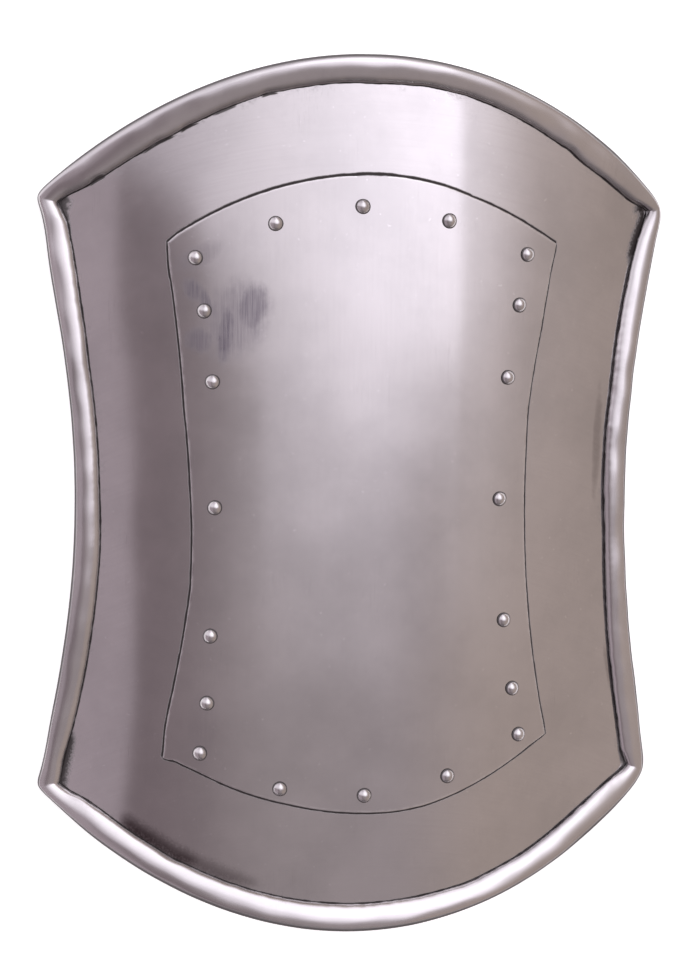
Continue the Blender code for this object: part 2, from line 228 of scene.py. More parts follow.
lit = blend(box * along.ramp(5.0, 16.0) * (1 - along.ramp(40.0, 66.0)), lit, BOX_BACK)
glow = Wire.node(tent, "ShaderNodeBackground", None, {"Color": lit, "Strength": 1.0})
Wire.node(tent, "ShaderNodeOutputWorld", None, {"Surface": glow}, None)


# The body: one sheet of polished steel, 1.5 mm thick, bent about its long axis. All four of its
# edges are folded out and back over the face, so a hollow roll frames it and the raw cut edge
# lies on the face. Shapes are drawn flat as (s, y), s measured along the bend, and then wrapped.

BEND_RADIUS = 0.360
SHEET = 0.0015
LANDING_GAP = 0.0003
ROLL_WIDTH = 0.0152
ROLL_HEIGHT = 0.0060
ROLL_FOLD_RUN = 0.0042
ROLL_START = 0.0062

# How far the cut edge wandered outside its drawn line, as (place along the side, distance), in mm
LIP_WANDER = {
    "top": ((-159, 2.5), (-153, 2.3), (-137, 0.1), (-105, -0.8), (-74, 0.7), (-59, 1.2), (-13, 1.0),
            (3, 0.4), (35, 1.6), (51, 2.0), (86, 1.1), (124, -0.2), (151, 2.0), (159, 5.5)),
    "bottom": ((-159, 2.5), (-154, 2.4), (-137, 1.1), (-93, 1.0), (-29, 0.5), (20, 0.6), (53, 1.5),
               (89, 1.6), (127, 0.3), (147, 1.2), (159, 1.5)),
    "left": ((-150, 2.5), (-139, 3.3), (-123, 2.5), (-90, 1.9), (-25, 1.3), (7, 2.4), (38, 2.7),
             (69, 3.2), (101, 2.3), (132, 0.3), (142, 0.2), (150, 2.5)),
    "right": ((-150, 1.5), (-143, -0.4), (-125, 0.6), (-91, 1.7), (-57, 2.7), (-24, 3.6), (4, 2.6),
              (36, 2.4), (53, 3.2), (85, 2.7), (117, 3.0), (134, 3.6), (144, 4.6), (150, 5.5)),
}

# How far each corner was drawn out, as (s, y) at the cut edge and at the outer fold, in mm
CORNER_PULL = {
    (-1, 1): ((0.3, 2.8), (4.6, 3.6)), (1, 1): ((0.6, 0.0), (-1.6, -1.6)),
    (-1, -1): ((-0.1, -3.4), (2.7, -0.8)), (1, -1): ((0.2, -3.0), (-3.9, -3.8)),
}
CORNER_REACH = 0.012

# Unevenness of the roll as a share of its height, and raggedness of the cut edge and its depth
ROLL_SWELL = 0.045
LIP_RAGGED = 0.00008
LIP_DEPTH = 0.0030

# Cells across and along the face, and how many fine ones its rim has for each of them
BODY_COLUMNS = 112
BODY_ROWS = 112
RIM_SPLIT = 3

# Length of a trial step that finds which way is outward
TRIAL_STEP = 0.001


class Outline:
    """Flat outline with arched ends and waisted sides, all parabolas, meeting at four corners."""

    def __init__(self, half_length, corner_height, corner_width, waist_width):
        self.half_length = half_length
        self.corner_height = corner_height
        self.corner_width = corner_width
        self.waist_width = waist_width
        self.end_bend = (half_length - corner_height) / corner_width ** 2
        self.side_bend = (corner_width - waist_width) / corner_height ** 2

    def quarter_turns(self, out, shares):
        """Top end and right side pushed outward by out (rings, 1), at shares from -1 to 1.

        A parabola moves along its unit normal. It is drawn past its corner until it meets the
        mitre line, the corner plus out times (n1 + n2) / (1 + n1 . n2).
        """
        end_slope = 2 * self.end_bend * self.corner_width
        side_slope = 2 * self.side_bend * self.corner_height
        end_normal = np.array([end_slope, 1.0]) / math.hypot(end_slope, 1)
        side_normal = np.array([1.0, -side_slope]) / math.hypot(side_slope, 1)
        mitre = (end_normal + side_normal) / (1 + end_normal @ side_normal)
        width, height = self.corner_width, self.corner_height
        for _ in range(6):
            slope = 2 * self.end_bend * width
            width = self.corner_width + out * (mitre[0] - slope / np.sqrt(1 + slope ** 2))
            slope = 2 * self.side_bend * height
            height = self.corner_height + out * (mitre[1] + slope / np.sqrt(1 + slope ** 2))
        s = shares * width
        slope = 2 * self.end_bend * s
        length = np.sqrt(1 + slope ** 2)
        top = np.stack([s + out * slope / length,
                        self.half_length - self.end_bend * s ** 2 + out / length], -1)
        y = shares * height
        slope = 2 * self.side_bend * y
        length = np.sqrt(1 + slope ** 2)
        right = np.stack([self.waist_width + self.side_bend * y ** 2 + out / length,
                          y - out * slope / length], -1)
        corner = np.array([self.corner_width, self.corner_height]) + out * mitre
        near_corner = abs(shares) ** 8
        top[..., 1] += (corner[:, 1:] - top[:, -1:, 1]) * near_corner
        right[..., 0] += (corner[:, :1] - right[:, -1:, 0]) * near_corner
        return top, right

    def rings(self, out, columns, rows):
        """Closed loops (rings, points, 2), counter-clockwise from the bottom left corner."""
        top, _ = self.quarter_turns(out, np.linspace(-1, 1, columns + 1))
        _, right = self.quarter_turns(out, np.linspace(-1, 1, rows + 1))
        down, over = np.array([1, -1]), np.array([-1, 1])
        return np.concatenate([top[:, :-1] * down, right[:, :-1], top[:, :0:-1],
                               (right * over)[:, :0:-1]], axis=1)

    def outward(self, out, columns, rows):
        """Unit steps outward at the rings' points: the change over a trial step, divided by it."""
        step = self.rings(out, columns, rows) - self.rings(out - TRIAL_STEP, columns, rows)
        return step / TRIAL_STEP

    def grid(self, out, columns, rows):
        """Points (rows + 1, columns + 1, 2) over the outline pushed outward by out.

        It is a Coons patch: the sum of the two ruled surfaces between opposite edges, less the
        patch that is linear between the four corners.
        """
        a = np.linspace(-1, 1, columns + 1)[None, :, None]
        b = np.linspace(-1, 1, rows + 1)[:, None, None]
        step = np.array([[out]])
        top = self.quarter_turns(step, a[0, :, 0])[0][0][None]
        right = self.quarter_turns(step, b[:, 0, 0])[1][0][:, None]
        ends = np.concatenate([0 * b + top[..., :1], b * top[..., 1:]], axis=-1)
        sides = np.concatenate([a * right[..., :1], 0 * a + right[..., 1:]], axis=-1)
        corner = top[0, -1]
        linear = np.concatenate([a * corner[0] + 0 * b, b * corner[1] + 0 * a], axis=-1)
        return ends + sides - linear


BODY_OUTLINE = Outline(0.2160, 0.1503, 0.1595, 0.1376)

# The front plate lies here; a dark line of old polish and painted shade runs all round it
PLATE_OUTLINE = Outline(0.1680, 0.1335, 0.1055, 0.0902)
PLATE_SHIFT = np.array([-0.0008, 0.0011])
PLATE_TURN = math.radians(0.5)
PLATE_WANDER = {
    "top": ((-105.5, -1.5), (-98, -0.7), (-67, -0.1), (-21, 0.3), (10, 0.9), (43, 0.6), (59, -0.2),
            (95, 0.0), (105.5, 0.9)),
    "bottom": ((-105.5, 1.5), (-101, 0.2), (-95, 0.8), (-86, 0.1), (-70, -0.2), (-39, -1.1),
               (-7, -0.4), (18, 0.9), (34, 1.1), (51, 0.4), (86, -1.5), (97, -2.0), (105.5, -1.2)),
    "left": ((-133.5, 1.5), (-112, 1.5), (-90, 0.6), (-47, -1.6), (-16, -0.9), (6, 0.0), (47, 1.0),
             (68, 0.4), (89, -0.4), (109, -1.4), (125, -1.9), (133.5, -1.5)),
    "right": ((-133.5, -1.2), (-126, -0.6), (-85, -0.8), (-41, -0.6), (24, -0.3), (45, -0.6),
              (66, 0.6), (87, 1.9), (108, 2.0), (125, 1.7), (133.5, 0.9)),
}
PLATE_CORNER_PULL = {(-1, 1): (2.2, 1.2), (1, 1): (0.9, -1.0),
                     (-1, -1): (1.2, -3.4), (1, -1): (0.5, 0.8)}
PLATE_PULL_REACH = 0.008


def pull_plate_corners(line):
    """The plate's flat points with each corner drawn to its place, as a Gaussian of distance."""
    for (s_way, y_way), pull in PLATE_CORNER_PULL.items():
        corner = np.array([s_way * PLATE_OUTLINE.corner_width, y_way * PLATE_OUTLINE.corner_height])
        away = ((line - corner) ** 2).sum(axis=-1)
        line = line + np.array(pull) / 1000 * np.exp(-away / PLATE_PULL_REACH ** 2)[..., None]
    return line


def turn_and_shift(flat, turn, shift):
    """Flat points turned about the middle and then shifted."""
    s, y = flat[..., 0], flat[..., 1]
    return np.stack([s * math.cos(turn) - y * math.sin(turn) + shift[0],
                     s * math.sin(turn) + y * math.cos(turn) + shift[1]], axis=-1)


def wrap(flat, height):
    """Flat points (..., 2) rolled onto the bend, at a height over the body's front face."""
    turn = flat[..., 0] / BEND_RADIUS
    reach = BEND_RADIUS + height
    return np.stack([reach * np.sin(turn), flat[..., 1],
                     reach * np.cos(turn) - BEND_RADIUS + CROWN], axis=-1)


def ripple(flat, longest, shortest, seed, waves=24):
    """Sum of plane waves with seeded directions, phases and lengths, about -1 to 1."""
    draw = np.random.default_rng(seed)
    turn = draw.uniform(0, 2 * math.pi, waves)
    length = np.exp(draw.uniform(math.log(shortest), math.log(longest), waves))
    phase = draw.uniform(0, 2 * math.pi, waves)
    total = np.zeros(flat.shape[:-1])
    for index in range(waves):
        s = flat[..., 0] * math.cos(turn[index]) + flat[..., 1] * math.sin(turn[index])
        total += np.sin(2 * math.pi * s / length[index] + phase[index])
    return total / math.sqrt(2 * waves)


HAMMER_HEIGHT = 0.00009


def hammering(flat):
    """Height of the sheet's hand-worked unevenness, the same for all that lies on it."""
    return HAMMER_HEIGHT * ripple(flat, 0.150, 0.055, seed=11)


SHARP_ANGLE = math.radians(40)


def steel_skin(name, points, quads, triangles, box):
    """Object from whole arrays of points and faces, kept within a box and smooth but for edges."""
    points = np.clip(points, *(np.array(corner) for corner in box))
    data = bpy.data.meshes.new(name)
    data.vertices.add(len(points))
    data.vertices.foreach_set("co", points.astype(np.float32).ravel())
    corners = np.concatenate([quads.ravel(), triangles.ravel()]).astype(np.int32)
    starts = np.concatenate([np.arange(len(quads)) * 4,
                             len(quads) * 4 + np.arange(len(triangles)) * 3])
    data.loops.add(len(corners))
    data.loops.foreach_set("vertex_index", corners)
    data.polygons.add(len(starts))
    data.polygons.foreach_set("loop_start", starts.astype(np.int32))
    data.update(calc_edges=True)
    data.shade_smooth()
    data.set_sharp_from_angle(angle=SHARP_ANGLE)
    made = bpy.data.objects.new(name, data)
    bpy.context.scene.collection.objects.link(made)
    return made


def grid_quads(columns, rows, first):
    """Quads of a grid of points stored row by row from index first, facing the reader."""
    corner = first + np.arange(rows)[:, None] * (columns + 1) + np.arange(columns)[None, :]
    return np.stack([corner, corner + 1, corner + columns + 2, corner + columns + 1],
                    axis=-1).reshape(-1, 4)


def rim_indices(columns, rows, first):
    """Indices of a grid's rim points, counter-clockwise from the bottom left corner."""
    index = first + np.arange((columns + 1) * (rows + 1)).reshape(rows + 1, columns + 1)
    return np.concatenate([index[0, :-1], index[:-1, -1], index[-1, :0:-1], index[:0:-1, 0]])


def band(ring):
    """Quads between neighbouring closed loops of point indices (loops, points)."""
    after = np.roll(ring, -1, axis=1)
    return np.stack([ring[:-1], ring[1:], after[1:], after[:-1]], axis=-1).reshape(-1, 4)


def edged_sheet(name, front, back, loops, box):
    """Closed skin of a front grid, a back grid and fine loops carried round the edge between them.

    The loops have RIM_SPLIT times as many points as the rims of the grids. Rows of triangles and
    quads, 1 to 3, join the two.
    """
    rows, columns = front.shape[0] - 1, front.shape[1] - 1
    count = front.shape[0] * front.shape[1]
    points = np.concatenate([front.reshape(-1, 3), back.reshape(-1, 3), loops.reshape(-1, 3)])
    front_rim = rim_indices(columns, rows, 0)
    back_rim = rim_indices(columns, rows, count)
    ring = 2 * count + np.arange(loops.shape[0] * loops.shape[1]).reshape(loops.shape[:2])
    front_next, back_next = np.roll(front_rim, -1), np.roll(back_rim, -1)
    first, second, third = (ring[0, k::RIM_SPLIT] for k in range(RIM_SPLIT))
    fourth = np.roll(first, -1)
    quads = [grid_quads(columns, rows, 0), grid_quads(columns, rows, count)[:, ::-1], band(ring),
             np.stack([front_rim, second, third, front_next], axis=-1)]
    triangles = [np.stack([front_rim, first, second], axis=-1),
                 np.stack([front_next, third, fourth], axis=-1)]
    first, second, third = (ring[-1, k::RIM_SPLIT] for k in range(RIM_SPLIT))
    fourth = np.roll(first, -1)
    quads.append(np.stack([second, back_rim, back_next, third], axis=-1))
    triangles += [np.stack([first, back_rim, second], axis=-1),
                  np.stack([third, back_next, fourth], axis=-1)]
    return steel_skin(name, points, np.concatenate(quads), np.concatenate(triangles), box)


def roll_section():
    """Section of the roll as (out, height) from the face, round the inside, to the back.

    The middle line of the sheet follows a tight half ellipse round the outer fold, from -90 to 90
    degrees, and then a long quarter ellipse down to the face. The skins lie half a sheet either
    side of it.
    """
    half = SHEET / 2
    middle = ROLL_WIDTH - ROLL_FOLD_RUN
    rise = (ROLL_HEIGHT + SHEET) / 2 - half
    fold = np.radians(np.linspace(-90, 90, 19))
    lip = np.radians(np.linspace(0, 85, 18))[1:]
    top = 2 * rise - half
    out = np.concatenate([middle + (ROLL_FOLD_RUN - half) * np.cos(fold),
                          middle - (middle - half) * np.sin(lip)])
    height = np.concatenate([rise - half + rise * np.sin(fold),
                             LANDING_GAP + (top - LANDING_GAP) * np.cos(lip)])
    slope = np.stack([np.gradient(out), np.gradient(height)], axis=-1)
    slope[0] = [1.0, 0.0]
    slope /= np.linalg.norm(slope, axis=1, keepdims=True)
    outer = np.stack([out + slope[:, 1] * half, height - slope[:, 0] * half], axis=-1)
    inner = np.stack([out - slope[:, 1] * half, height + slope[:, 0] * half], axis=-1)
    inner[1:, 1] = np.maximum(inner[1:, 1], LANDING_GAP)
    inner = np.concatenate([[[ROLL_START, 0.0]], inner[:-1:3], inner[-1:]])
    outer = np.concatenate([outer[::-1], [[ROLL_START, -SHEET]]])
    return inner, outer


# Chips in the cut edge, as (s, y, depth, reach) in metres
CHIPS = ((-0.1407, 0.1655, 0.0005, 0.004), (-0.1079, 0.1838, 0.0006, 0.006),
         (-0.0923, 0.1925, 0.0005, 0.004), (-0.0514, 0.2097, 0.0006, 0.004),
         (0.030, 0.2135, 0.0005, 0.006), (0.112, 0.185, 0.0006, 0.005),
         (-0.100, -0.188, 0.0006, 0.006), (0.060, -0.2065, 0.0005, 0.008))


def ease_corners(loops, sides, spread, strength):
    """Round the loops near their corners: each point moves towards a Gaussian mean along its loop.

    Sides are the corner indices, spread the reach in points and strength the share at each loop.
    """
    taps = np.arange(-3 * spread, 3 * spread + 1)
    bell = np.exp(-0.5 * (taps / spread) ** 2)
    mean = sum(weight * np.roll(loops, -tap, axis=1)
               for tap, weight in zip(taps, bell / bell.sum()))
    count = loops.shape[1]
    index = np.arange(count)
    gap = np.min([np.minimum((index - k) % count, (k - index) % count) for k in sides], axis=0)
    near = np.exp(-(gap / (3.5 * spread)) ** 4)[None, :, None] * strength[:, None, None]
    return loops + (mean - loops) * near


def wander(knots, outline, columns, rows):
    """Outward step in metres at each point of a drawn outline, linear between a side's knots."""
    loop = outline.rings(np.zeros((1, 1)), columns, rows)[0]
    sides = {"bottom": loop[:columns, 0], "right": loop[columns:columns + rows, 1],
             "top": loop[columns + rows:2 * columns + rows, 0],
             "left": loop[2 * columns + rows:, 1]}
    return np.concatenate([np.interp(place * 1000, *zip(*knots[side])) / 1000
                           for side, place in sides.items()])


def note(made, name, values):
    """Keep one number a point on a piece, for its material to read."""
    kept = made.data.attributes.new(name, "FLOAT", "POINT")
    kept.data.foreach_set("value", values.astype(np.float32))


POINTS_AT_ONCE = 4000


def gap_to_line(line, flat):
    """Distance of flat points (n, 2) from a closed line (m, 2), positive inside it.

    It is the distance to the nearest point of the line. A point is inside where a ray from it
    towards +s crosses the line an odd number of times.
    """
    start, end = line, np.roll(line, -1, axis=0)
    rise = np.where(abs(end[:, 1] - start[:, 1]) < 1e-12, 1e-12, end[:, 1] - start[:, 1])
    gap = np.empty(len(flat))
    for first in range(0, len(flat), POINTS_AT_ONCE):
        last = first + POINTS_AT_ONCE
        s, y = flat[first:last, :1], flat[first:last, 1:]
        nearest = np.sqrt(((s - line[:, 0]) ** 2 + (y - line[:, 1]) ** 2).min(axis=1))
        crossed = (start[:, 1] > y) != (end[:, 1] > y)
        crossed &= s < start[:, 0] + (y - start[:, 1]) / rise * (end[:, 0] - start[:, 0])
        gap[first:last] = np.where(crossed.sum(axis=1) % 2 == 1, nearest, -nearest)
    return gap


def plate_edge(columns, rows):
    """Closed line of the front plate's edge as it was cut, on the flat body."""
    at_line = np.zeros((1, 1))
    step = wander(PLATE_WANDER, PLATE_OUTLINE, columns, rows)[:, None]
    line = (PLATE_OUTLINE.rings(at_line, columns, rows)[0]
            + PLATE_OUTLINE.outward(at_line, columns, rows)[0] * step)
    return turn_and_shift(pull_plate_corners(line), PLATE_TURN, PLATE_SHIFT)


def build_body():
    """The bent sheet with its rolled edge.

    The roll's section is carried round the drawn outline. Its lip then moves out by the wander,
    its corners by a Gaussian of distance, and its height swells by a sum of waves.
    """
    inner, outer = roll_section()
    section = np.concatenate([inner, outer])
    out, height = section[:, :1], section[:, 1:]
    columns, rows = BODY_COLUMNS * RIM_SPLIT, BODY_ROWS * RIM_SPLIT
    loops = BODY_OUTLINE.rings(out, columns, rows)
    outward = BODY_OUTLINE.outward(out, columns, rows)
    in_roll = (height > -SHEET / 2) & (out != ROLL_START)
    share = np.clip(out / ROLL_WIDTH, 0, 1)
    step = wander(LIP_WANDER, BODY_OUTLINE, columns, rows)
    loops = loops + outward * (step * (1 - share) * in_roll)[..., None]
    for (s_way, y_way), (at_lip, at_fold) in CORNER_PULL.items():
        corner = np.array([s_way * BODY_OUTLINE.corner_width, y_way * BODY_OUTLINE.corner_height])
        away = ((loops - corner) ** 2).sum(axis=-1)
        pull = np.array(at_lip) * (1 - share) + np.array(at_fold) * share
        pull = pull[:, None] / 1000 * np.where(in_roll | (share > 0.4), 1.0, 0.0)[..., None]
        loops = loops + pull * np.exp(-away / (CORNER_REACH + CORNER_REACH * share) ** 2)[..., None]
    left = [0, 2 * columns + rows]
    right = [columns, columns + rows]
    loops = ease_corners(loops, right, 7, share[:, 0] ** 0.7)
    loops = ease_corners(loops, left, 3, share[:, 0] ** 1.5)
    lift = hammering(loops)
    swell = 1 + ROLL_SWELL * ripple(loops, 0.060, 0.018, seed=12)
    near_lip = np.exp(-(out / LIP_DEPTH) ** 2) * in_roll
    ragged = LIP_RAGGED * ripple(loops, 0.014, 0.004, seed=13)
    for s, y, depth, reach in CHIPS:
        away = (loops[..., 0] - s) ** 2 + (loops[..., 1] - y) ** 2
        ragged += depth * np.exp(-away / reach ** 2)
    loops = loops + outward * (ragged * near_lip)[..., None]
    rolled = wrap(loops, np.where(height > 0, height * swell, height) + lift)
    flat = BODY_OUTLINE.grid(0.0, BODY_COLUMNS, BODY_ROWS)
    front = wrap(flat, hammering(flat))
    back = wrap(flat, hammering(flat) - SHEET)
    made = edged_sheet("body_sheet", front, back, rolled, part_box("body"))

    # Marks for the paint; the back is given numbers beyond the reach of every mark of the front
    on_face = flat.reshape(-1, 2)
    lip = loops[len(inner)]
    to_lip = gap_to_line(lip, on_face)
    lip_gap = -out + 0 * loops[..., 0]
    lip_gap[0] = gap_to_line(lip, loops[0])
    behind = np.ones(len(on_face))
    note(made, "lip_gap", np.concatenate([to_lip, -behind, lip_gap.ravel()]))
    to_plate = gap_to_line(plate_edge(BODY_COLUMNS * RIM_SPLIT, BODY_ROWS * RIM_SPLIT), on_face)
    note(made, "plate_gap", np.concatenate([to_plate, -behind, -np.ones(loops[..., 0].size)]))
    rolled_over = np.where(height < ROLL_HEIGHT / 2 - SHEET, 2 - share, share + 0.01)
    rolled_over = rolled_over + 0 * loops[..., 0]
    rolled_over[0], rolled_over[-1] = 0.0, 2.0
    note(made, "roll_share", np.concatenate([0 * behind, 2 * behind, rolled_over.ravel()]))
    return made


STEEL_DARK = (0.56, 0.54, 0.55, 1.0)
STEEL_LIGHT = (0.65, 0.625, 0.635, 1.0)
POLISH_MARK = (0.50, 0.46, 0.48, 1.0)
SCRATCH = (0.34, 0.31, 0.33, 1.0)
PALE_SPECK = (0.80, 0.78, 0.80, 1.0)
SCORCH = (0.10, 0.075, 0.08, 1.0)
# The near-black stands for dirt, scale and old polish, and also for painted shade: in gaps, at the
# roll's outer fold and round the rivet heads
GRIME_AND_SHADE = (0.035, 0.028, 0.028, 1.0)


def noise(place, scale, detail=3.0, roughness=0.5):
    """Cloudy noise about 0 to 1 at a place; the scale is in cells a metre."""
    return Wire.node(place.tree, "ShaderNodeTexNoise", None,
                     {"Vector": place, "Scale": scale, "Detail": detail, "Roughness": roughness})


def stretched(place, size, turn=0.0):
    """The place turned about the sheet's normal and scaled by a size for each direction."""
    return Wire.node(place.tree, "ShaderNodeMapping", {"vector_type": "POINT"},
                     {"Vector": place, "Rotation": (0.0, 0.0, turn), "Scale": size})


def hairlines(place, turn, density, width):
    """Fine scratches: where stretched noise passes through its middle value."""
    line = noise(stretched(place, (density, density / 40, density), turn), 1.0, 2.0)
    return 1 - abs(line - 0.5).ramp(0.0, width)


class SteelPaint:
    """Material of polished steel in the making, with the flat place (s, y) of the point shaded."""

    def __init__(self, name):
        self.material = bpy.data.materials.new(name)
        self.material.use_nodes = True
        tree = self.material.node_tree
        self.tree = tree
        self.shader = tree.nodes["Principled BSDF"]
        x, self.y, z = split(Wire.node(tree, "ShaderNodeTexCoord", output="Object"))
        self.s = x.math("ARCTAN2", z + (BEND_RADIUS - CROWN)) * BEND_RADIUS
        self.place = Wire.node(tree, "ShaderNodeCombineXYZ", None,
                               {0: self.s, 1: self.y, 2: z})
        self.uneven = noise(self.place, 140.0, 4.0, 0.65)

    def noted(self, name):
        """A number kept on the piece's points."""
        return Wire.node(self.tree, "ShaderNodeAttribute", {"attribute_name": name}, None, "Fac")

    def blot(self, s, y, long, wide, turn=0.0, soft=0.6, ragged=0.3):
        """1 inside an uneven oval of the flat sheet and 0 outside; s, y and half sizes in mm."""
        along_s, along_y = math.cos(math.radians(turn)), math.sin(math.radians(turn))
        step_s, step_y = self.s * 1000 - s, self.y * 1000 - y
        ahead = (step_s * along_s + step_y * along_y) / long
        aside = (step_y * along_s - step_s * along_y) / wide
        away = ahead * ahead + aside * aside + (self.uneven - 0.5) * (ragged * 4)
        return 1 - away.ramp(1 - soft, 1 + soft)

    def deepest(self, marks, soft, ragged):
        """The largest of a table of blots, each with its depth as the last number."""
        blots = [self.blot(*oval, soft, ragged) * depth for *oval, depth in marks]
        largest = blots[0]
        for blot in blots[1:]:
            largest = largest.math("MAXIMUM", blot)
        return largest

    def finish(self, colour, roughness, metallic, height):
        """Join the results to the shader; a plain number is set on its socket."""
        bump = Wire.node(self.tree, "ShaderNodeBump", None,
                         {"Height": height, "Distance": 0.001, "Strength": 1.0})
        for name, wire in (("Base Color", colour), ("Roughness", roughness),
                           ("Metallic", metallic), ("Normal", bump)):
            if isinstance(wire, Wire):
                self.tree.links.new(wire.socket, self.shader.inputs[name])
            else:
                self.shader.inputs[name].default_value = wire
        return self.material


def sheet_grain(place):
    """Clouds, crumbs and pale specks: the grain that both sheets have."""
    return (noise(place, 16.0, 5.0, 0.6), noise(place, 900.0, 3.0, 0.7),
            noise(place, 420.0, 2.0, 0.5).ramp(0.70, 0.76))


def sheet_colour(clouds, polish, lines, specks):
    """Clouded steel with polish marks, then scratches, then specks over it, each by its share."""
    colour = blend(clouds.ramp(0.3, 0.7), STEEL_DARK, STEEL_LIGHT)
    colour = blend(polish, colour, POLISH_MARK)
    colour = blend(lines * 0.18, colour, SCRATCH)
    return blend(specks, colour, PALE_SPECK)


# Ovals in the polish, each as (s, y, half length, half width in mm, turn in degrees, depth):
# smears on the face, and scorched polish that hugs the cut edge at the lower left
BODY_SMEARS = ((135.5, 27, 26, 2.4, 88, 0.30), (148, -100, 14, 2.0, 104, 0.30))
LIP_SMEARS = ((-116, -177, 13, 9, -30, 1.0), (-100, -186, 17, 8, -27, 0.95),
              (-78, -196.5, 22, 6, -20, 0.6))

# Ovals of black scale, laid out in the same way: blobs on the cut edge at the upper left, and
# scale wedged in the corners inside the roll
LIP_SCALE = ((-107.9, 183.8, 9, 1.7, 29, 1.0), (-92.3, 192.5, 5, 1.5, 25, 1.0),
             (-51.4, 209.7, 4, 1.6, 14, 0.9), (-140.7, 165.5, 5, 1.6, 36, 0.9),
             (-75.0, 201.5, 6, 1.2, 21, 0.8))
CORNER_SCALE = ((160, 141, 17, 6.5, 80, 1.0), (-160.5, 143, 16, 4.4, 98, 0.85),
                (-160.5, -141, 18, 6.0, 80, 0.95), (158.5, -140, 15, 3.2, 98, 0.8),
                (-160, 153, 6, 4, 0, 0.9), (163, 150, 7, 5, 0, 1.0))


def paint_body():
    """Polished steel with arched polishing lines, clouds, smears, and scale by the cut edge, with
    painted shade along the cut edge, round the plate and at the roll's outer fold.
    """
    paint = SteelPaint("body_polish")
    place, uneven = paint.place, paint.uneven
    lip, plate, roll = (paint.noted(name) for name in ("lip_gap", "plate_gap", "roll_share"))
    face = 1 - roll.ramp(0.0, 0.008)
    clouds, crumbs, specks = sheet_grain(place)
    bowed = Wire.node(paint.tree, "ShaderNodeCombineXYZ", None,
                      {0: paint.s, 1: paint.y + paint.s * paint.s * 1.6, 2: 0.0})
    polish = noise(stretched(bowed, (18.0, 900.0, 1.0)), 1.0, 4.0, 0.6)
    lines = hairlines(bowed, 1.57, 800.0, 0.012) * noise(place, 40.0).ramp(0.48, 0.68)
    # Painted shade with grime: a dark line where the cut edge meets the face, the shadow of the gap
    # under the lip; narrower on the roll's side
    cut_line_grime_and_shade = 1 - (lip.math("MAXIMUM", lip * -2.2) + (uneven - 0.5) * 0.0014).ramp(0.0002, 0.0007)
    halo = (1 - abs(lip).ramp(0.0, 0.005)) * uneven.ramp(0.50, 0.80) * 0.30 * face
    # Painted shade with old polish: a dark line on the face round the plate, the shadow of the gap
    # under its edge, set a little further out on the right
    under_plate = plate + paint.s.ramp(0.06, 0.10) * 0.0003 + 0.0004
    joint_grime_and_shade = (1 - (abs(under_plate) + (uneven - 0.5) * 0.0008).ramp(0.0005, 0.0012)) * face
    # Painted shade: a dark band along the roll's outer fold and just behind it, a painted dark
    # reflection where the steel would mirror the pale ground
    fold_start = roll - paint.y.ramp(0.12, 0.17) * 0.05 + paint.s.ramp(0.10, 0.14) * 0.05
    fold = fold_start.ramp(0.79, 0.91) * (1 - roll.ramp(1.16, 1.27)) * 0.88
    blobs = paint.deepest(LIP_SCALE, 0.5, 0.3) * (1 - abs(lip).ramp(0.0010, 0.0018))
    wedge = paint.deepest(CORNER_SCALE, 0.5, 0.45)
    wedge = wedge * (1 - (lip + (crumbs - 0.5) * 0.006).ramp(0.0016, 0.0058)) * face
    scorch = paint.deepest(LIP_SMEARS, 0.8, 0.25)
    scorch = scorch * (1 - (lip + (crumbs - 0.5) * 0.008).ramp(0.0030, 0.0105))
    smear = paint.deepest(BODY_SMEARS, 0.95, 0.5) * (polish * 0.6 + 0.7)
    smear = smear.math("MAXIMUM", scorch * (crumbs.ramp(0.30, 0.62) * 0.30 + 0.68)) * face
    # The dark marks together: grime, scale and patina, with the painted shade of the cut line, the
    # plate joint and the outer fold
    grime_and_shade = cut_line_grime_and_shade
    for layer in (halo, joint_grime_and_shade, fold, blobs, wedge):
        grime_and_shade = grime_and_shade.math("MAXIMUM", layer)
    colour = sheet_colour(clouds, polish.ramp(0.35, 0.75) * 0.10, lines, specks * 0.35 * face)
    colour = blend(smear.math("MINIMUM", 1.0), colour, SCORCH)
    colour = blend(grime_and_shade, colour, GRIME_AND_SHADE)
    roughness = (clouds * 0.05 + polish * 0.05 + 0.045 + crumbs * 0.03
                 + roll.ramp(0.0, 0.02) * 0.10 + grime_and_shade * 0.5)
    metallic = 1 - grime_and_shade * 0.8
    height = crumbs * 0.0015 + polish * 0.0012 - lines * 0.002 - grime_and_shade * 0.02
    return paint.finish(colour, roughness, metallic, height)


body_sheet = build_body()
body_sheet.data.materials.append(paint_body())
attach(body_sheet, "root")
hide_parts("body")


# The front plate: a second sheet of the same steel, cut to a smaller outline of the same kind,
# bent to the same radius and laid on the face. Its front edge is filed to a small round, and a
# thin black line fills the gap under it: old polish, and painted shade of the gap.

PLATE_THICKNESS = 0.0015
PLATE_COLUMNS = 90
PLATE_ROWS = 110
FILED_ROUND = 0.0006
FILED_RAGGED = 0.00006
BURR = 0.0001

# The worked edge reaches in this far, and the even grid of the faces starts further in
PLATE_EDGE_DEPTH = 0.0013
PLATE_GRID_INSET = 0.0060

# The pale colour is wear with a painted highlight on the filed edge; the dark one is the scrubbed
# patch
WORN_EDGE_AND_HIGHLIGHT = (0.78, 0.75, 0.76, 1.0)
SCRUBBED = (0.17, 0.15, 0.19, 1.0)


